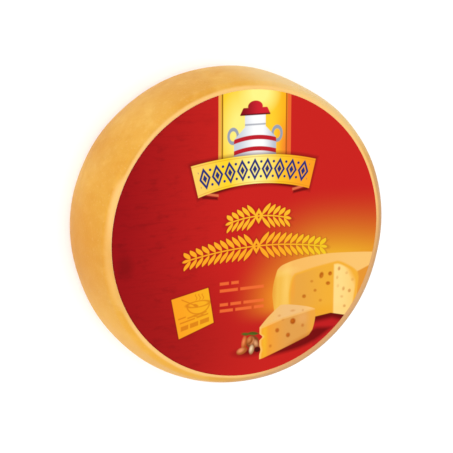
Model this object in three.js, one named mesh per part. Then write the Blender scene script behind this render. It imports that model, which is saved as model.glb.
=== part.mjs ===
// A whole wheel of emmental-type cheese, lying flat with its round paper label up.
// Millimetres, +Z up along the wheel's axis. The origin is the middle of the back face, on the
// surface that the wheel rests on. +Y points to the top of the label's picture, +X to its right.

import * as THREE from 'three';

// The cheese
const wheelDiameter = 360; // at the widest, half way up the side
const wheelHeight = 113; // from the back face to the labelled face
const sideBulge = 10.8; // how far the middle of the side stands out past its top and bottom
const edgeRadius = 10; // the soft edge between the side and each flat face

// The label
const labelMargin = 0.5; // bare rind between the label's rim and the start of the soft edge
const labelThickness = 0.3;
const pasteFilm = 0.1; // the film of paste that holds the label down

// Facets
const roundSteps = 120; // round the wheel, a multiple of 4 so that the full diameter lies on X and Y
const sideSteps = 8; // up the bulged side, even so that the widest ring is one of them
const edgeSteps = 5; // over each soft edge

// The side of the wheel is an arc, seen in a cut through the axis. Its centre lies on the
// wheel's middle plane. Each soft edge is a smaller arc inside it, tangent to it and to the face.
const halfHeight = wheelHeight / 2;
const sideRadius = (halfHeight ** 2 + sideBulge ** 2) / (2 * sideBulge);
const sideCentre = wheelDiameter / 2 - sideRadius;
const edgeCentreHeight = halfHeight - edgeRadius;
const edgeCentreReach = Math.sqrt((sideRadius - edgeRadius) ** 2 - edgeCentreHeight ** 2);
const faceRadius = sideCentre + edgeCentreReach; // where the flat face ends
const edgeStart = Math.atan2(edgeCentreHeight, edgeCentreReach);

const labelRadius = faceRadius - labelMargin;

// Points on an arc in the cut plane, x out from the axis and y up, angles from straight out.
function arcPoints(x, y, radius, from, to, steps) {
  const points = [];
  for (let i = 0; i <= steps; i += 1) {
    const angle = from + ((to - from) * i) / steps;
    points.push(new THREE.Vector2(x + radius * Math.cos(angle), y + radius * Math.sin(angle)));
  }
  return points;
}

// A solid turned from a profile that starts and ends on the axis, stood up along +Z.
function turnedSolid(profile) {
  return new THREE.LatheGeometry(profile, roundSteps).rotateX(Math.PI / 2);
}

// The cheese is one solid: pressed in a round mould, with its rind grown on it.
function cheeseWheel() {
  const lowEdge = arcPoints(
    faceRadius, edgeRadius, edgeRadius, -Math.PI / 2, -edgeStart, edgeSteps,
  );
  const side = arcPoints(sideCentre, halfHeight, sideRadius, -edgeStart, edgeStart, sideSteps);
  const highEdge = arcPoints(
    faceRadius, wheelHeight - edgeRadius, edgeRadius, edgeStart, Math.PI / 2, edgeSteps,
  );
  const profile = [
    new THREE.Vector2(0, 0),
    ...lowEdge,
    ...side.slice(1, -1),
    ...highEdge,
    new THREE.Vector2(0, wheelHeight),
  ];
  const rind = new THREE.MeshStandardMaterial({ color: 0xefae51, roughness: 0.5, metalness: 0 });
  const wheel = new THREE.Mesh(turnedSolid(profile), rind);
  wheel.name = 'cheese_wheel';
  return wheel;
}

// The label is a disc of printed paper that covers the flat of the upper face.
function paperLabel() {
  const profile = [
    new THREE.Vector2(0, 0),
    new THREE.Vector2(labelRadius, 0),
    new THREE.Vector2(labelRadius, labelThickness),
    new THREE.Vector2(0, labelThickness),
  ];
  const print = new THREE.MeshStandardMaterial({ color: 0xc1211f, roughness: 0.45, metalness: 0 });
  const label = new THREE.Mesh(turnedSolid(profile), print);
  label.name = 'label';
  label.position.z = wheelHeight + pasteFilm;
  return label;
}

const labelledWheel = new THREE.Group();
labelledWheel.add(cheeseWheel(), paperLabel());

export default labelledWheel;
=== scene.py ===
import math

import bpy
import numpy as np
from mathutils import Matrix, Vector


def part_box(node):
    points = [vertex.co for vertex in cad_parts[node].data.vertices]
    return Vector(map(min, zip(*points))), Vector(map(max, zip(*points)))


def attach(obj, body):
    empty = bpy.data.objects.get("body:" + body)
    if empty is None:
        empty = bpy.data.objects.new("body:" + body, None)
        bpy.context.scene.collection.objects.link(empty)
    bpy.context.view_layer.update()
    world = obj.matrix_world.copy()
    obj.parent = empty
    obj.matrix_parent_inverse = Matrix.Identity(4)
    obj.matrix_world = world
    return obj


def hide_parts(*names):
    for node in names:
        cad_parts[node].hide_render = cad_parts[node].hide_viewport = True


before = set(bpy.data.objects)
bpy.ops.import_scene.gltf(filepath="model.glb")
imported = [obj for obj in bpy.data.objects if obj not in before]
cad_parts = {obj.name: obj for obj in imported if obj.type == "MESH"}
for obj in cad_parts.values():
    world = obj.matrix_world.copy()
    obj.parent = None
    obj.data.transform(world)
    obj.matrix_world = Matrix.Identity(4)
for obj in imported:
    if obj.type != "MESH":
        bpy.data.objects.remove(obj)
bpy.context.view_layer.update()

# The cheese: one pressed wheel of emmental-type cheese, ripened in film, so that its rind is
# smooth, waxy and orange-yellow. Its side has swollen outwards while it ripened, its edges are
# soft, and it is a little uneven all over. It lies on its back face.
MM = 0.001
wheel_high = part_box("cheese_wheel")[1]
wheel_radius = wheel_high.x
wheel_height = wheel_high.z
side_bulge = 10.8 * MM
edge_radius = 10 * MM
cap_radius = 8 * MM
turn_count = 384
flat_steps = 26
edge_steps = 12
side_steps = 56

half_height = wheel_height / 2
side_radius = (half_height**2 + side_bulge**2) / (2 * side_bulge)
side_centre = wheel_radius - side_radius
edge_centre_height = half_height - edge_radius
face_radius = side_centre + math.sqrt((side_radius - edge_radius) ** 2 - edge_centre_height**2)
edge_start = math.atan2(edge_centre_height, face_radius - side_centre)

rng = np.random.default_rng(11)
swell_count = 26
swell_amount = 0.13 * MM
swell_lengths = rng.uniform(45, 170, swell_count) * MM
swell_ways = rng.normal(size=(swell_count, 3))
swell_ways /= np.linalg.norm(swell_ways, axis=1)[:, None]
swell_phases = rng.uniform(0, 2 * math.pi, swell_count)
swell_sizes = swell_amount * swell_lengths / swell_lengths.mean()
face_unevenness = 0.4  # of the swelling, because the press keeps the two faces flatter


def swelling(points):
    """How far the uneven surface stands out at these points, in metres."""
    waves = points @ (swell_ways * (2 * math.pi / swell_lengths)[:, None]).T + swell_phases
    return np.sin(waves) @ swell_sizes


def arc(out, up, radius, start, end, steps):
    """Points on an arc round a middle, with angles from straight outwards."""
    angles = np.linspace(start, end, steps + 1)
    return np.stack([out + radius * np.cos(angles), up + radius * np.sin(angles)], 1)


def flat_rings(inner, outer, height, steps):
    """Rings on a flat face, closer together towards its rim."""
    share = np.linspace(0, 1, steps, endpoint=False) ** 0.8
    return np.stack([inner + (outer - inner) * share, np.full(steps, height)], 1)


def turned(name, rings, corners_on_map):
    """A closed mesh through rings of points, with a flat cap on its first and last ring.
    corners_on_map gives the place on the piece's flat map of each corner of each face."""
    ring_count, turns = rings.shape[:2]
    ring, turn = np.meshgrid(np.arange(ring_count - 1), np.arange(turns), indexing="ij")
    ring, turn = ring.ravel(), turn.ravel()
    corner_rings = np.stack([ring, ring, ring + 1, ring + 1], 1)
    corner_turns = np.stack([turn, turn + 1, turn + 1, turn], 1)
    quads = corner_rings * turns + corner_turns % turns
    first_cap = np.arange(turns)[::-1]
    last_cap = (ring_count - 1) * turns + np.arange(turns)
    mesh = bpy.data.meshes.new(name)
    faces = quads.tolist() + [first_cap.tolist(), last_cap.tolist()]
    mesh.from_pydata(rings.reshape(-1, 3).tolist(), [], faces)
    quad_places = corners_on_map(corner_rings, corner_turns, ring[:, None], turn[:, None])
    cap_places = [
        corners_on_map(np.full(turns, ring_count - 1 if last else 0), cap % turns,
                       np.full(turns, ring_count - 2 if last else 0), cap % turns)
        for last, cap in enumerate((first_cap, last_cap))
    ]
    places = np.concatenate([quad_places.reshape(-1, 2), *cap_places])
    flat_map = mesh.uv_layers.new(name="OFBake")
    flat_map.data.foreach_set("uv", places.astype(np.float32).ravel())
    mesh.shade_smooth()
    mesh.set_sharp_from_angle(angle=math.radians(50))
    piece = bpy.data.objects.new(name, mesh)
    bpy.context.scene.collection.objects.link(piece)
    return piece


# The section runs from the middle of the back face, up the side, to the middle of the upper face.
section = np.concatenate([
    flat_rings(cap_radius, face_radius, 0, flat_steps),
    arc(face_radius, edge_radius, edge_radius, -math.pi / 2, -edge_start, edge_steps)[:-1],
    arc(side_centre, half_height, side_radius, -edge_start, edge_start, side_steps)[:-1],
    arc(face_radius, wheel_height - edge_radius, edge_radius,
        edge_start, math.pi / 2, edge_steps)[:-1],
    flat_rings(cap_radius, face_radius, wheel_height, flat_steps)[::-1],
])
top_start = len(section) - flat_steps
along = np.gradient(section, axis=0)
outward = np.stack([along[:, 1], -along[:, 0]], 1)
outward /= np.linalg.norm(outward, axis=1)[:, None]
turn_angles = np.arange(turn_count) * (2 * math.pi / turn_count)
spokes = np.stack([np.cos(turn_angles), np.sin(turn_angles)], 1)


def spun(profile):
    """A profile of (out, up) points carried round the axis: rings by turns by 3."""
    out = profile[:, None, 0, None] * spokes[None]
    up = np.broadcast_to(profile[:, 1, None, None], (*out.shape[:2], 1))
    return np.concatenate([out, up], 2)


# The round is a little uneven: it bulges in places, and is pressed flatter in one, near its back.
# Each row is a direction and how far round it spreads, in degrees, then a level and how far the
# side stands out there, in millimetres.
wheel_rings = spun(section)
on_side = np.abs(outward[:, 0])[:, None]
stands_out = swelling(wheel_rings.reshape(-1, 3)).reshape(wheel_rings.shape[:2])
stands_out *= face_unevenness + (1 - face_unevenness) * on_side
bulge_reach = 45
for degrees, spread, level, amount in (
    (350, 22, 90, 1.7), (28, 14, 80, 1.0), (232, 20, 50, 1.0),
    (60, 11, 25, -2.2), (84, 10, 40, 0.8), (262, 13, 70, 1.6),
):
    away = np.angle(np.exp(1j * (turn_angles - math.radians(degrees)))) / math.radians(spread)
    off = (section[:, 1] - level * MM) / (bulge_reach * MM)
    stands_out += amount * MM * on_side * np.exp(-(off**2))[:, None] * np.exp(-(away**2))[None]
wheel_rings += spun(outward) * stands_out[..., None]
wheel_lift = -wheel_rings[..., 2].min()
wheel_rings[..., 2] += wheel_lift


def wheel_map(rings, turns, face_rings, face_turns):
    """Two discs for the faces over two strips for the side."""
    radii = section[rings, 0]
    angles = turns * (2 * math.pi / turn_count)
    disc_scale = 0.24 / face_radius
    disc_x = np.where(face_rings < flat_steps, 0.25, 0.75) + disc_scale * radii * np.cos(angles)
    disc_y = 0.75 + disc_scale * radii * np.sin(angles)
    run = np.cumsum(np.r_[0, np.hypot(*np.diff(section, axis=0).T)])
    half = face_turns * 2 // turn_count
    strip_length = 0.98
    strip_x = 0.01 + strip_length * (turns * 2 / turn_count - half)
    strip_scale = strip_length / (math.pi * wheel_radius)
    strip_y = 0.02 + 0.25 * half + strip_scale * (run[rings] - run[flat_steps])
    on_disc = (face_rings < flat_steps) | (face_rings >= top_start)
    return np.stack([np.where(on_disc, disc_x, strip_x), np.where(on_disc, disc_y, strip_y)], -1)


wheel = turned("cheese", wheel_rings, wheel_map)


class Wire:
    """One socket of a material's nodes, so that sums on surfaces read as arithmetic."""

    def __init__(self, tree, socket=None):
        self.tree = tree
        self.socket = socket

    def feed(self, node, sockets):
        """Sets a value, or leads a wire, into each socket named."""
        for key, value in sockets.items():
            if isinstance(value, Wire):
                self.tree.links.new(value.socket, node.inputs[key])
            else:
                node.inputs[key].default_value = value

    def make(self, kind, settings, sockets, out=0):
        """Adds a node, its settings first and then its sockets."""
        node = self.tree.nodes.new("ShaderNode" + kind)
        for name, value in settings.items():
            setattr(node, name, value)
        self.feed(node, sockets)
        return Wire(self.tree, node.outputs[out])

    def math(self, operation, *others, clamp=False):
        settings = {"operation": operation, "use_clamp": clamp}
        return self.make("Math", settings, dict(enumerate((self, *others))))

    def vector(self, operation, *others, out=0):
        return self.make("VectorMath", {"operation": operation}, dict(enumerate((self, *others))), out)

    def __add__(self, other):
        return self.math("ADD", other)

    def __sub__(self, other):
        return self.math("SUBTRACT", other)

    def __rsub__(self, other):
        return self.make("Math", {"operation": "SUBTRACT"}, {0: other, 1: self})

    def __mul__(self, other):
        return self.math("MULTIPLY", other)

    def __truediv__(self, other):
        return self.math("DIVIDE", other)

    def __pow__(self, other):
        return self.math("POWER", other)

    def __mod__(self, other):
        return self.math("FLOORED_MODULO", other)

    def __abs__(self):
        return self.math("ABSOLUTE")

    __radd__ = __add__
    __rmul__ = __mul__

    def sine(self):
        return self.math("SINE")

    def at_least(self, other):
        return self.math("MAXIMUM", other)

    def rise(self, low, high):
        """0 below low, 1 above high and smooth between."""
        settings = {"interpolation_type": "SMOOTHSTEP"}
        return self.make("MapRange", settings, {"Value": self, "From Min": low, "From Max": high})

    def blend(self, start, end):
        """The colour this share of the way, from 0 to 1, from one colour to another."""
        factor, first, second, mixed = 0, 6, 7, 2  # where a Mix node keeps these for colours
        sockets = {factor: self, first: start, second: end}
        return self.make("Mix", {"data_type": "RGBA"}, sockets, mixed)

    def over(self, colour, share):
        """This colour with another laid over it, by a share from 0 to 1."""
        return share.blend(self, colour)

    def noise(self, scale, detail, roughness):
        """Cloudy noise at these coordinates, about 0.5 on average."""
        sockets = {"Vector": self, "Scale": scale, "Detail": detail, "Roughness": roughness}
        return self.make("TexNoise", {}, sockets)


def tint(red, green, blue):
    """A colour as it looks in the studio, from 0 to 255, as the share of light that is returned."""
    dimming = 0.76  # because the studio's light is brighter than white
    share = np.array([red, green, blue]) / 255
    light = np.where(share <= 0.04045, share / 12.92, ((share + 0.055) / 1.055) ** 2.4)
    return (*(light * dimming).tolist(), 1.0)


def surface(piece, name):
    """Gives the piece a new material, and returns a wire into its nodes and its shader."""
    material = bpy.data.materials.new(name)
    material.use_nodes = True
    piece.data.materials.append(material)
    return Wire(material.node_tree), material.node_tree.nodes["Principled BSDF"]


wax, wax_shader = surface(wheel, "waxy_rind")
height_share = 0.35  # the drifts are drawn out up the side, to about three times their width
spot = wax.make("TexCoord", {}, {}, "Object")
clouds = spot.noise(9.0, 3.0, 0.55)
patches = spot.noise(34.0, 3.0, 0.6)
flecks = spot.noise(70.0, 2.0, 0.5)
drifts = spot.vector("MULTIPLY", (1.0, 1.0, height_share)).noise(17.0, 2.0, 0.5)
specks = spot.noise(420.0, 2.0, 0.6)


def towards(degrees):
    """How far out a point lies in this direction, in metres."""
    way = (math.cos(math.radians(degrees)), math.sin(math.radians(degrees)), 0.0)
    return spot.vector("DOT_PRODUCT", way, out=1)


# The rind is cloudy, with softer patches, long drifts and small flecks, darker and paler.
rind = clouds.rise(0.36, 0.64).blend(tint(224, 161, 54), tint(229, 170, 69))
rind = rind.over(tint(220, 150, 40), patches.rise(0.5, 0.74) * 0.6)
rind = rind.over(tint(235, 184, 88), (1.0 - patches).rise(0.52, 0.72) * 0.5)
rind = rind.over(tint(212, 142, 40), drifts.rise(0.5, 0.72) * 0.4)
rind = rind.over(tint(214, 146, 42), flecks.rise(0.5, 0.75) * 0.22)
rind = rind.over(tint(244, 188, 92), (1.0 - flecks).rise(0.52, 0.76) * 0.25)
# Broad tints by direction: browner on one side, and painted light on two others.
rind = rind.over(tint(216, 140, 34), towards(186).rise(0.160, 0.179) * 0.6)
# Painted light: yellower on one side, lifting the side turned partly away from the lamp.
rind = rind.over(tint(240, 176, 62), towards(232).rise(0.140, 0.172) * 0.8)
# Painted reflection: paler on a third side, standing for a sheen of the white studio.
rind = rind.over(tint(240, 204, 138), towards(56).rise(0.134, 0.168) * 0.8)
# The soft edges are paler in a band, partly rubbed and partly painted highlight, wider on one side.
reach = spot.vector("MULTIPLY", (1.0, 1.0, 0.0)).vector("LENGTH", out=1)
height = spot.make("SeparateXYZ", {}, {"Vector": spot}, "Z")
off_face = (half_height - abs(height - half_height)) + (reach - face_radius)
widest = towards(178).rise(0.146, 0.160)
dullest = towards(192).rise(0.150, 0.164)
rub_and_highlight_reach = 0.0036 + widest * 0.0058 + (clouds - 0.5) * 0.005
rub_and_highlight = 1.0 - (off_face / rub_and_highlight_reach).rise(0.35, 1.5)
rind = rind.over(tint(249, 199, 122), rub_and_highlight * (0.9 - dullest * 0.5))
# Painted shade: the band is tan on the side whose rounding faces away from the lamp.
rind = rind.over(tint(216, 160, 106), rub_and_highlight * towards(318).rise(0.095, 0.150) * 0.9)
# Painted shade: the side below that tan edge is painted tan too, less and less downwards.
high_up = (height + (clouds - 0.5) * 0.06).rise(0.04, 0.105)
tan_side_shade = (reach - face_radius).rise(0.001, 0.005) * high_up
rind = rind.over(tint(206, 160, 118), tan_side_shade * towards(325).rise(0.050, 0.120) * 0.75)
# Its fine grain is pale specks over shallow pores.
rind = rind.over(tint(248, 208, 136), specks.rise(0.54, 0.8) * 0.2)
pores = spot.make("TexVoronoi", {"feature": "SMOOTH_F1"}, {"Vector": spot, "Scale": 260.0})
relief = patches * 0.5 + specks * 0.26 + pores.rise(0.0, 0.3) * 0.3
grain = wax.make("Bump", {}, {"Strength": 0.6, "Distance": 0.0008, "Height": relief})
wax.feed(wax_shader, {
    "Base Color": rind,
    "Roughness": 0.42 + patches * 0.14,
    "Normal": grain,
    "Subsurface Weight": 0.1,
    "Subsurface Radius": (1.0, 0.55, 0.2),
    "Subsurface Scale": 0.004,
    "Specular IOR Level": 0.12,
})
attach(wheel, "root")
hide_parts("cheese_wheel")

# The label: a disc of thin coated paper pasted over the flat of the upper face. It follows the
# unevenness of the cheese, and its rim lifts a little here and there. Its print is generic: a
# milk churn on a yellow panel, a ribbon, leaf sprays, a badge, and a picture of cut cheese.
label_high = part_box("label")[1]
label_radius = label_high.x
paper_thickness = 0.22 * MM
paper_gap = 0.1 * MM
rim_lift = 0.14 * MM
back_steps = 12
top_steps = 44

label_section = np.concatenate([
    flat_rings(cap_radius, label_radius, 0, back_steps),
    [[label_radius, 0], [label_radius, paper_thickness]],
    flat_rings(cap_radius, label_radius, paper_thickness, top_steps)[::-1],
])
label_rings = spun(label_section)
under = label_rings.reshape(-1, 3).copy()
under[:, 2] = wheel_height
lies_at = wheel_height + wheel_lift + paper_gap + face_unevenness * swelling(under)
lift_start = 0.93
rim_share = np.clip((label_section[:, 0] / label_radius - lift_start) / (1 - lift_start), 0, 1) ** 2
rim_waves = 0.5 + 0.3 * np.sin(3 * turn_angles + 0.4) + 0.2 * np.sin(7 * turn_angles + 2.0)
label_rings[..., 2] += lies_at.reshape(label_rings.shape[:2])
label_rings[..., 2] += rim_lift * rim_share[:, None] * rim_waves[None]


def label_map(rings, turns, face_rings, face_turns):
    """The printed face fills the map; the back and the rim are small, in two of its corners."""
    share = label_section[rings, 0] / label_radius
    angles = turns * (2 * math.pi / turn_count)
    on_back = face_rings < back_steps
    on_rim = face_rings == back_steps
    size = np.where(on_back, 0.055, 0.49)
    middle = np.where(on_back, 0.06, 0.5)
    map_x = middle + size * share * np.cos(angles)
    map_y = middle + size * share * np.sin(angles)
    map_x = np.where(on_rim, 0.87 + 0.12 * turns / turn_count, map_x)
    map_y = np.where(on_rim, 0.01 + 0.01 * (rings - back_steps), map_y)
    return np.stack([map_x, map_y], -1)


label = turned("paper_label", label_rings, label_map)
paper, paper_shader = surface(label, "printed_paper")
place = paper.make("TexCoord", {}, {}, "Object")
x = place.make("SeparateXYZ", {}, {"Vector": place}, "X") * (1 / MM)
y = place.make("SeparateXYZ", {}, {"Vector": place}, "Y") * (1 / MM)
# The print's coordinates are in millimetres from the label's middle, with 1 as a third number,
# so that one dot product gives the distance from any line.
print_at = paper.make("CombineXYZ", {}, {"X": x, "Y": y, "Z": 1.0})


def line(start, end):
    """Distance from the line from start to end, more than 0 on its right-hand side."""
    length = math.hypot(end[0] - start[0], end[1] - start[1])
    across = ((end[1] - start[1]) / length, (start[0] - end[0]) / length)
    offset = across[0] * start[0] + across[1] * start[1]
    return print_at.vector("DOT_PRODUCT", (*across, -offset), out=1)


def shape(corners, rounding=0.0):
    """Distance from an outline that bulges everywhere, its corners listed anticlockwise."""
    outside = line(corners[-1], corners[0])
    for start, end in zip(corners, corners[1:]):
        side = line(start, end)
        if rounding:
            outside = outside.math("SMOOTH_MAX", side, rounding)
        else:
            outside = outside.at_least(side)
    return outside


def oval(middle, wide, tall, lean=0.0):
    """Distance from an oval that reaches this far from its middle, turned anticlockwise by lean
    degrees."""
    turn = math.radians(lean)
    ways = ((math.cos(turn), math.sin(turn)), (-math.sin(turn), math.cos(turn)))
    across, up = [
        print_at.vector("DOT_PRODUCT", (
            way[0] / size, way[1] / size, -(way[0] * middle[0] + way[1] * middle[1]) / size,
        ), out=1)
        for way, size in zip(ways, (wide, tall))
    ]
    away = (across * across + up * up) ** 0.5
    return (away - 1.0) * min(wide, tall)


def disc(middle, radius):
    away = print_at.vector("DISTANCE", (*middle, 1.0), out=1)
    return away - radius


def inside(distance, blur):
    """1 inside an outline and 0 outside it, over a soft edge as wide as blur."""
    return distance.math("MULTIPLY_ADD", -1 / blur, 0.5, clamp=True)


def both(first, second):
    return first.at_least(second)


def either(first, second):
    return first.math("MINIMUM", second)


# The ground is red, darker and streaked on the left, with a golden glow behind the cheese.
ground = x.rise(-190, 0).blend(tint(147, 6, 15), tint(198, 30, 25))
ground = ground.over(tint(150, 16, 16), inside(oval((-95, -115), 80, 55), 80) * 0.45)
streaks = print_at.vector("MULTIPLY", (0.03, 0.4, 1.0)).noise(1.0, 4.0, 0.65)
smears = print_at.vector("MULTIPLY", (0.05, 0.11, 1.0)).noise(1.0, 3.0, 0.6)
dark_side = 1.0 - x.rise(-120, 0)
ground = ground.over(tint(116, 4, 8), streaks.rise(0.46, 0.72) * dark_side * 0.2)
ground = ground.over(tint(112, 4, 8), smears.rise(0.5, 0.75) * dark_side * 0.35)
ground = ground.over(tint(120, 6, 8), inside(oval((-147, -20), 8, 11, 10), 9) * 0.55)


def glowing(middle, reach_across, reach_up, power):
    """A glow that is full at a point and fades out to these distances left of it and above."""
    left = (middle[0] - x).at_least(0.0) / reach_across
    off = (y - middle[1]) / abs(reach_up)
    if reach_up > 0:
        off = off.at_least(0.0)
    near = 1.0 - (left * left + off * off) ** 0.5
    return near.at_least(0.0) ** power


above_table = y.rise(-108, -84)
ground = ground.over(tint(245, 150, 32), glowing((42, -76), 76, -70, 2.3) * above_table)
high_glow = glowing((94, -30), 118, 82, 2.3) * (1.0 - x.rise(100, 180) * 0.3)
ground = ground.over(tint(233, 167, 38), high_glow * above_table)
at_rim = disc((0, 0), label_radius / MM).rise(-2.4, 0) * (1.0 - x.rise(-150, 20))
ground = ground.over(tint(96, 4, 6), at_rim * 0.3)

# The panel: a yellow field with thin brown lines and orange borders, up to the label's rim.
panel = shape([(-38.4, 84), (49.2, 84), (49.2, 170), (-38.4, 170)])
field = x.rise(22, 46).blend(tint(254, 204, 44), tint(251, 172, 20))
field = field.over(tint(238, 112, 40), (1.0 - y.rise(94, 138)) * x.rise(28, 47) * 0.9)
field = field.over(tint(255, 240, 132), inside(oval((-12, 118), 18, 34), 18) * 0.85)
field = field.over(tint(255, 244, 140), inside(oval((11, 158), 18, 18), 18) * 0.9)
field = field.over(tint(150, 92, 10), inside(abs(x + 33.8) - 0.9, 1.2))
field = field.over(tint(241, 168, 70), inside(x + 35.2, 0.8))
field = field.over(tint(176, 86, 20), inside(abs(x - 43.6) - 0.9, 1.2))
field = field.over(tint(234, 104, 42), inside(44.8 - x, 0.8))
ground = ground.over(field, inside(panel, 0.6))

# A milk churn stands in the panel: a grey-white can with red bands and a red lid.
can = shape([(-20, 84), (31, 84), (31, 108), (15, 124), (-4, 124), (-20, 108)], 2.0)
neck = shape([(-7, 118), (18, 118), (18, 136), (-7, 136)], 1.0)
metal = x.rise(-18, 8).blend(tint(196, 204, 214), tint(250, 250, 250))
metal = metal.over(tint(164, 172, 190), x.rise(12, 32) * 0.85)
metal = metal.over(tint(120, 124, 140), inside(abs(y - 123.5) - 0.9, 1.2) * 0.7)
bowed = y + (x - 5.5) * (x - 5.5) * 0.006
metal = metal.over(tint(188, 26, 40), inside(abs(bowed - 109.5) - 2.4, 0.7))
metal = metal.over(tint(188, 26, 40), inside(abs(bowed - 97.0) - 2.4, 0.7))
ring_left = abs(oval((-21, 112), 5.5, 7.5)) - 1.5
ring_right = abs(oval((32, 112), 5.5, 7.5)) - 1.5
ground = ground.over(tint(150, 158, 172), inside(either(ring_left, ring_right), 0.8))
ground = ground.over(metal, inside(either(can, neck), 0.7))
lid = shape([(-13, 134), (24, 134), (20, 142), (-9, 142)], 1.5)
knob = oval((5.5, 143), 9, 6.5)
red_lid = x.rise(-12, 14).blend(tint(130, 10, 24), tint(206, 30, 44))
ground = ground.over(red_lid, inside(either(lid, knob), 0.7))
lid_shade = inside(abs(y - 134.5) - 0.8, 1.0) * inside(abs(x - 5.5) - 18, 1.0)
ground = ground.over(tint(92, 4, 14), lid_shade)

# The ribbon arches under the panel. Its two ends are tucked back under it, and it carries a row
# of dark blue lozenges.
arch_middle = (5.5, -231)
arch_radius = 305.0
arch_x = x - arch_middle[0]
arch_y = y - arch_middle[1]
along_ribbon = arch_x.math("ARCTAN2", arch_y) * arch_radius
over_ribbon = (arch_x * arch_x + arch_y * arch_y) ** 0.5 - arch_radius
out_along = abs(along_ribbon)
up_off = abs(over_ribbon + out_along * out_along * 0.0001)
top_drop = over_ribbon.rise(-4.0, 12.0) * along_ribbon.at_least(0.0) ** 2.0 * 0.00046
ribbon_edge = up_off - 16.0 - out_along * out_along * 0.0004 + top_drop
ribbon = both(ribbon_edge, out_along - 72.5)
ground = ground.over(tint(92, 2, 4), inside(both(ribbon_edge - 2.0, out_along - 73.5), 6) * 0.8)
beneath = both(both(ribbon_edge - 2.4, over_ribbon), out_along - 57.0)
ground = ground.over(tint(104, 2, 2), inside(beneath, 1.6) * out_along.rise(14, 42) * 0.85)
tucked_out = abs(x - 7.0)
tuck_shade = both(abs(y - 46.2 - (tucked_out - 55.0) * 0.14) - 1.5, abs(tucked_out - 55.0) - 9.0)
ground = ground.over(tint(96, 2, 2), inside(tuck_shade, 2.2) * 0.9)
tuck = both(abs(y - 49.0 - (tucked_out - 50.0) * 0.2) - 1.3, abs(tucked_out - 52.0) - 7.0)
ground = ground.over(tint(226, 118, 72), inside(tuck, 1.2) * 0.9)
cloth = along_ribbon.rise(8, 72).blend(tint(250, 210, 40), tint(248, 156, 28))
cloth = cloth.over(tint(250, 204, 100), (along_ribbon * -1.0).rise(34, 70) * 0.9)
cloth = cloth.over(tint(253, 246, 160), inside(out_along - 14.0, 34) * 0.9)
hem = inside(abs(ribbon_edge + 2.0) - 0.4, 1.0)
cloth = cloth.over(tint(206, 130, 14), hem * 0.55)
ground = ground.over(cloth, inside(ribbon, 0.6))
lozenge_pitch = 15.0
in_cell = abs((along_ribbon + 4.5 * lozenge_pitch) % lozenge_pitch - lozenge_pitch / 2)
lozenge = in_cell / 6.9 + up_off / 12.4
lozenges = either(abs(lozenge - 0.80) - 0.20, lozenge - 0.38) * 6.0
dots = ((lozenge_pitch / 2 - in_cell) ** 2.0 + (up_off - 8.2) ** 2.0) ** 0.5 - 1.5
row = both(either(lozenges, dots), out_along - 66.6)
ground = ground.over(tint(38, 46, 116), inside(row, 0.6))


# Two leaf sprays in gold, the second twice as wide as the first, with a flower in the middle.
def leaf_spray(middle, pairs, pitch, leaf, arching):
    """Mirrored twigs from the middle outwards, with slanted pairs of leaves, and a flower."""
    out = abs(x - middle[0])
    twig = y - middle[1] + out * out * arching
    off = abs(twig)
    twig_end = (pairs + 1) * pitch
    slanted = out - off * 0.75
    cell = slanted % pitch - pitch / 2
    length = leaf * (1.12 - out / (2.4 * twig_end))
    along_leaf = (off - length - 0.5) / length
    leaves = abs(cell) - (1.0 - along_leaf * along_leaf) * pitch * 0.4
    leaves = both(both(leaves, slanted - twig_end), 0.0 - slanted)
    stem = both(off - 0.8, out - twig_end)
    tip = ((out - twig_end - 1.5) ** 2.0 * 0.16 + off * off) ** 0.5 - 1.7
    up = abs(y - middle[1])
    flower = both(out / 5.6 + up / 9.0 - 1.0, 0.36 - out / 5.6 - up / 9.0)
    return either(either(either(leaves, stem), tip), flower * 4.5)


gold = y.rise(-28, 34).blend(tint(248, 164, 30), tint(250, 184, 40))
gold = gold.over(tint(240, 196, 30), x.rise(30, 95))
sprays = (((11, 21), 4, 6.9, 7.4, 0.004), ((8.5, -13), 10, 7.6, 7.2, 0.0012))
for spray in (leaf_spray(*values) for values in sprays):
    ground = ground.over(tint(120, 12, 6), inside(spray - 1.0, 2.6) * 0.45)
    ground = ground.over(gold, inside(spray, 0.6))

# Rows of plain bars stand where a maker would print the small words. Each has its left and right
# ends and its level.
bar_half = 1.7
for left, right, level in (
    (-36, -25, -52), (-22, -13, -52),
    (-36, -14, -60), (-11, 18, -60),
    (-36, -26, -76), (-23, -10, -76), (-7, 18, -76),
    (-36, -20, -83), (-17, 3, -83), (6, 18, -83),
):
    bar = both(abs(x - (left + right) / 2) - (right - left) / 2, abs(y - level) - bar_half)
    ground = ground.over(tint(240, 108, 50), inside(bar, 1.0) * 0.85)

# The badge: a tilted orange-yellow card with a line drawing of a bowl of soup and its spoon.
badge = shape([(-94, -63), (-85.3, -109), (-43.4, -95), (-50, -54.4)], 0.8)
card = x.rise(-92, -46).blend(tint(247, 158, 28), tint(245, 174, 28))
bowl_rim = abs(oval((-62, -71.5), 13.6, 3.4, 3)) - 0.55
bowl_side = both(abs(oval((-62, -71.5), 13.6, 11.0, 3)) - 0.6, y + 72.0)
foot = abs(oval((-62, -84.2), 5.0, 1.2, 3)) - 0.5
spoon = both(abs(line((-82, -64.5), (-64, -73.5))) - 0.6, abs(x + 73.5) - 8.5)
spoon = either(spoon, oval((-65, -73), 3.4, 1.7, -26))
drawing = either(either(bowl_rim, bowl_side), either(foot, spoon))
for steam in (-64.5, -60.5, -56.5):
    wisp = abs(x - steam - (y * 0.85).sine() * 0.9) - 0.5
    drawing = either(drawing, both(wisp, abs(y + 63.5) - 3.4))
slope = y - x * 0.23
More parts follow.
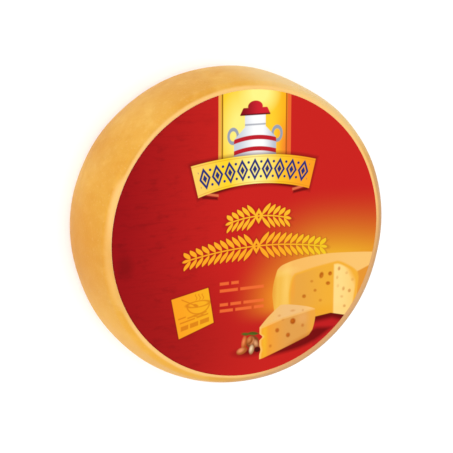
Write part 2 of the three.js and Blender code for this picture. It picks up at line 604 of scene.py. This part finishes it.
for left, right, level, thick in (
    (-86, -77, -66.8, 0.8), (-75, -52, -69.2, 0.8), (-84, -66, -72.2, 0.8), (-64, -50, -72.2, 0.8),
    (-83, -74, -79.0, 2.6), (-72, -62, -79.0, 2.6), (-60, -49, -79.0, 2.6),
):
    word = both(abs(x - (left + right) / 2) - (right - left) / 2, abs(slope - level) - thick)
    drawing = either(drawing, word)
card = card.over(tint(204, 108, 12), inside(drawing, 0.9) * 0.7)
ground = ground.over(tint(124, 12, 4), inside(badge - 1.0, 1.8) * 0.65)
ground = ground.over(card, inside(badge, 0.7))

# The pictured cheese: a wheel with a wedge taken out. Its rind is pale gold, the front cut is
# deeper in colour and the right cut is pale, and both show round eyes.
whole = shape([(34, -112), (170, -112), (170, -36), (158, -34.4), (142, -32.8), (125, -31.6),
               (104, -30.4), (83, -30.9), (63, -32.9), (50, -35.4), (40, -38.8), (35, -43),
               (32.6, -49.5), (30, -59.5), (28.8, -72)], 1.5)
cheese = x.rise(60, 140).blend(tint(243, 184, 96), tint(245, 192, 108))
left_rind = shape([(20, -112), (54, -112), (54, -54), (48, -46.5), (36, -43.5), (20, -48)], 2.0)
cheese = cheese.over(tint(239, 184, 74), inside(left_rind, 4.0))
cheese = cheese.over(tint(249, 203, 104), inside(oval((46.5, -62), 3.4, 24, -3), 8) * 0.8)
cheese = cheese.over(tint(248, 206, 114), inside(oval((46, -46.5), 8, 2.4, 8), 7) * 0.7)
cheese = cheese.over(tint(228, 152, 48), inside(oval((30.5, -68), 2.4, 22, -2), 5) * 0.75)
right_rind = shape([(138, -112), (170, -112), (170, -44), (138, -56)], 1.0)
cheese = cheese.over(tint(226, 146, 46), inside(right_rind, 1.6))
cut = shape([(50.5, -112), (133, -112), (139, -76), (140.4, -63), (138.6, -56), (133, -50.8),
             (125, -46), (117, -42), (110, -40), (104, -39.8), (92, -42.3), (79, -45),
             (66.5, -46.7), (58.5, -48.2), (54, -53), (51.5, -60), (49.6, -72)], 1.0)
cheese = cheese.over(tint(240, 172, 52), inside(cut, 2.2))
face = x.rise(60, 104).blend(tint(229, 162, 62), tint(238, 171, 50))
face = face.over(tint(243, 158, 48), inside(oval((54.5, -64), 2.2, 12), 5) * 0.7)
face = face.over(tint(237, 164, 36), inside(oval((92, -98), 24, 5), 10) * 0.8)
cheese = cheese.over(face, inside(both(cut + 2.2, x - 107.4), 2.4))
pale = x.rise(112, 144).blend(tint(252, 214, 132), tint(249, 198, 106))
pale = pale.over(tint(251, 206, 120), inside(oval((114, -98), 14, 5), 8) * 0.5)
pale_face = both(cut + 3.4, 107.6 - x)
far_edge = inside(line((144, -84), (122, -44)), 7)
cheese = cheese.over(pale, inside(pale_face, 2.2) * far_edge)
for eye_x, eye_y, wide, tall, depth in (
    (91.3, -55.3, 2.7, 3.6, 0.95), (102.5, -54.6, 2.4, 2.4, 0.95), (100, -65.8, 2.7, 2.1, 0.95),
    (78.8, -61.2, 1.8, 1.5, 0.5), (83.3, -72.4, 1.9, 1.7, 0.65), (69.2, -77.8, 2.4, 2.1, 0.85),
    (90.4, -85, 2.0, 1.7, 0.4), (114.2, -50, 1.7, 2.3, 0.6), (112, -60.3, 1.5, 2.0, 0.3),
    (124.2, -56.2, 1.8, 1.8, 0.25), (132, -65, 1.7, 1.7, 0.25), (113, -70.3, 1.6, 2.0, 0.2),
    (120.4, -74.5, 1.7, 2.3, 0.45), (128.3, -77.8, 1.9, 2.1, 0.55), (118.3, -83.7, 2.0, 1.5, 0.3),
    (122, -95.3, 1.8, 1.7, 0.45),
):
    eye = oval((eye_x, eye_y), wide, tall, -12)
    cheese = cheese.over(tint(184, 94, 6), inside(eye, 1.6) * depth)
    glint = oval((eye_x + 0.3 * wide, eye_y - 0.35 * tall), wide * 0.5, tall * 0.4)
    cheese = cheese.over(tint(214, 124, 30), inside(glint, 1.4) * (depth * 0.6))
ground = ground.over(cheese, inside(whole, 0.8))
table = shape([(82, -103.8), (80, -170), (170, -170), (170, -118), (123, -106.2), (107, -101.2)])
under_wheel = either(line((76, -104.6), (107, -101.6)), line((107, -101.6), (170, -123)))
table_red = under_wheel.rise(2.0, 10.0).blend(tint(108, 2, 2), tint(188, 24, 27))
ground = ground.over(table_red, inside(table, 0.8))
shade = shape([(24, -143.6), (38, -142.6), (58, -140), (74, -136), (88, -130), (106, -118.6),
               (84, -116.6), (76, -120), (40, -134)], 2.0)
ground = ground.over(tint(112, 2, 4), inside(shade, 5) * 0.95)

# A garnish: a green leaf over shelled and unshelled nuts. The wedge hides its right edge.
ground = ground.over(tint(96, 4, 4), inside(oval((1, -135), 15, 4.4), 7) * 0.8)
for middle, wide, tall, lean, dark, light in (
    ((4.5, -124), 8.0, 7.4, 0, (128, 64, 26), (204, 126, 76)),
    ((9.5, -127), 3.4, 5.2, 24, (150, 84, 44), (220, 158, 110)),
    ((1.5, -122), 3.2, 4.6, -30, (146, 72, 26), (212, 128, 70)),
    ((-5.5, -124), 3.0, 7.6, -12, (172, 84, 28), (238, 132, 78)),
    ((-8.2, -133), 6.6, 3.6, 18, (170, 88, 34), (236, 144, 92)),
    ((10.8, -133.6), 3.6, 3.0, 0, (70, 2, 2), (80, 4, 4)),
    ((3.8, -133), 2.9, 5.2, -14, (172, 132, 88), (246, 212, 172)),
):
    nut = oval(middle, wide, tall, lean)
    ground = ground.over(tint(*dark), inside(nut, 1.2))
    lit = oval((middle[0] - 0.25 * wide, middle[1] + 0.25 * tall), wide * 0.55, tall * 0.6, lean)
    ground = ground.over(tint(*light), inside(lit, 2.6))
leaf = either(
    both(oval((4, -119.5), 11, 7.6, -4), oval((5.5, -108.5), 11, 7.6, -10)),
    oval((-4, -113.6), 4.8, 1.7, -10))
ground = ground.over(tint(72, 86, 22), inside(leaf, 1.4))
vein = both(leaf + 1.0, abs(line((-8, -112.5), (12, -116)) - 0.2) - 0.3)
ground = ground.over(tint(108, 122, 40), inside(vein, 1.4) * 0.8)

# The wedge taken out of the pictured cheese lies in front, its ragged point to the left.
upper_notch = 1.0 - abs(y + 119.4).rise(0.0, 4.4)
lower_notch = 1.0 - abs(y + 134.6).rise(0.0, 6.5)
left_edge = 13.4 + (upper_notch * 3.6 + lower_notch * 1.5) - x
wedge_outline = both(shape([
    (8, -113.5), (8, -146), (16.9, -145.3), (37.5, -138.8), (53.8, -133), (68.8, -128),
    (76.3, -124.4), (80.6, -118.8), (83, -111), (84.2, -104), (83.6, -94), (75, -90.6),
    (62.5, -87.5), (48.8, -85), (39.5, -84.4), (34.5, -88), (23, -97.5), (13.4, -107.6),
], 0.8), left_edge)
upper_face = both(line((81, -93.8), (43.8, -100)), line((43.8, -100), (16, -107.8)))
front_tone = x.rise(14, 54).blend(tint(243, 156, 38), tint(222, 156, 74))
front_tone = front_tone.over(tint(231, 166, 92), inside(oval((68, -103), 7, 6), 8) * 0.8)
front_tone = front_tone.over(tint(237, 163, 58), inside(75 - x, 8) * 0.85)
lower_edge = line((16.9, -145.3), (76.3, -124.4))
low_shade = inside(-2.0 - lower_edge, 5) * x.rise(40, 62)
front_tone = front_tone.over(tint(204, 122, 40), low_shade * 0.8)
front_tone = front_tone.over(tint(240, 184, 40), inside(oval((19.5, -124), 2.4, 22), 6) * 0.9)
front_tone = front_tone.over(tint(250, 196, 104), inside(-2.0 - left_edge, 2.6) * 0.9)
for eye_x, eye_y, size, depth in (
    (55.3, -105.6, 3.3, 1.0), (35.6, -114, 2.4, 0.85), (49.4, -121.3, 2.5, 0.9),
    (68, -112, 1.9, 0.45), (27.2, -131.6, 1.7, 0.45), (42.5, -102, 1.4, 0.35),
):
    front_tone = front_tone.over(
        tint(176, 82, 6), inside(oval((eye_x, eye_y), size, size * 1.05), 2.0) * depth)
    glint = oval((eye_x - 0.25 * size, eye_y + 0.2 * size), size * 0.55, size * 0.5)
    front_tone = front_tone.over(tint(204, 104, 16), inside(glint, 1.6) * depth * 0.6)
top_tone = x.rise(20, 50).blend(tint(240, 186, 104), tint(236, 186, 120))
top_tone = top_tone.over(tint(246, 192, 114), x.rise(60, 78) * 0.8)
for eye_x, eye_y, size in ((55, -93, 2.7), (38, -97, 1.7), (68, -94, 1.2)):
    top_tone = top_tone.over(tint(214, 146, 80), inside(oval((eye_x, eye_y), size, 1.2), 1.6) * 0.7)
wedge_tone = top_tone.over(front_tone, inside(upper_face, 1.6))
wedge_tone = wedge_tone.over(tint(252, 200, 118), inside(abs(upper_face + 0.8) - 0.7, 1.6) * 0.6)
ground = ground.over(wedge_tone, inside(wedge_outline, 0.8))

# The back and the cut rim are bare white paper.
normal = paper.make("NewGeometry", {}, {}, "Normal")
facing_up = paper.make("SeparateXYZ", {}, {"Vector": normal}, "Z").rise(0.4, 0.6)
bare = tint(246, 240, 228)
printed = facing_up.blend(bare, ground)

fibres = print_at.noise(2.4, 3.0, 0.6)
paper_grain = paper.make("Bump", {}, {"Strength": 0.25, "Distance": 0.0001, "Height": fibres})
paper.feed(paper_shader, {
    "Base Color": printed,
    "Roughness": 0.42 + fibres * 0.08,
    "Normal": paper_grain,
    "Specular IOR Level": 0.05,
})
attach(label, "root")
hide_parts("label")

# The floor: a wide, matt and nearly white tabletop that the wheel lies on. It is no part of
# the object.
floor_reach = 8.0
floor_mesh = bpy.data.meshes.new("floor")
floor_mesh.from_pydata(
    [(-floor_reach, -floor_reach, 0), (floor_reach, -floor_reach, 0),
     (floor_reach, floor_reach, 0), (-floor_reach, floor_reach, 0)], [], [(0, 1, 2, 3)])
floor = bpy.data.objects.new("floor", floor_mesh)
bpy.context.scene.collection.objects.link(floor)
tabletop, tabletop_shader = surface(floor, "pale_floor")
tabletop.feed(tabletop_shader, {
    "Base Color": (0.93, 0.95, 0.985, 1.0), "Roughness": 0.9, "Specular IOR Level": 0.1,
})

# The light: a white studio all round, and one large soft lamp from the upper left. It makes the
# shading gentle and the shadow faint.
studio = bpy.data.worlds.new("studio")
bpy.context.scene.world = studio
studio.use_nodes = True
backdrop = studio.node_tree.nodes["Background"]
backdrop.inputs["Color"].default_value = (1.0, 1.0, 1.0, 1.0)
backdrop.inputs["Strength"].default_value = 1.063

lamp_from = Vector((-0.65, 0.36, 0.9))
key_lamp = bpy.data.lights.new("key_lamp", "SUN")
key_lamp.angle = math.radians(50)
key_lamp.energy = 1.432
key_holder = bpy.data.objects.new("key_lamp", key_lamp)
key_holder.rotation_euler = lamp_from.to_track_quat("Z", "Y").to_euler()
bpy.context.scene.collection.objects.link(key_holder)

# The camera looks down on the label from its upper left, with the label's top up. It stands well
# back with a long lens, so that the round label looks only a little oval.
view_height = math.radians(62.13)
view_side = math.radians(150.76)
view_distance = 1.568
camera_roll = math.radians(0.28)
camera_data = bpy.data.cameras.new("camera")
camera_data.lens = 109.24
camera_data.sensor_width = 36
camera = bpy.data.objects.new("camera", camera_data)
back = Vector((
    math.cos(view_side) * math.cos(view_height),
    math.sin(view_side) * math.cos(view_height),
    math.sin(view_height),
))
right = Vector((0, 1, 0)).cross(back).normalized()
up = back.cross(right)
turned_right = right * math.cos(camera_roll) + up * math.sin(camera_roll)
turned_up = back.cross(turned_right)
aim_at = Vector((-0.0019, -0.002, half_height))
camera.matrix_world = Matrix.Translation(aim_at + back * view_distance) @ Matrix(
    (turned_right, turned_up, back)).transposed().to_4x4()
bpy.context.scene.collection.objects.link(camera)
bpy.context.scene.camera = camera
bpy.context.scene.view_settings.view_transform = "Standard"
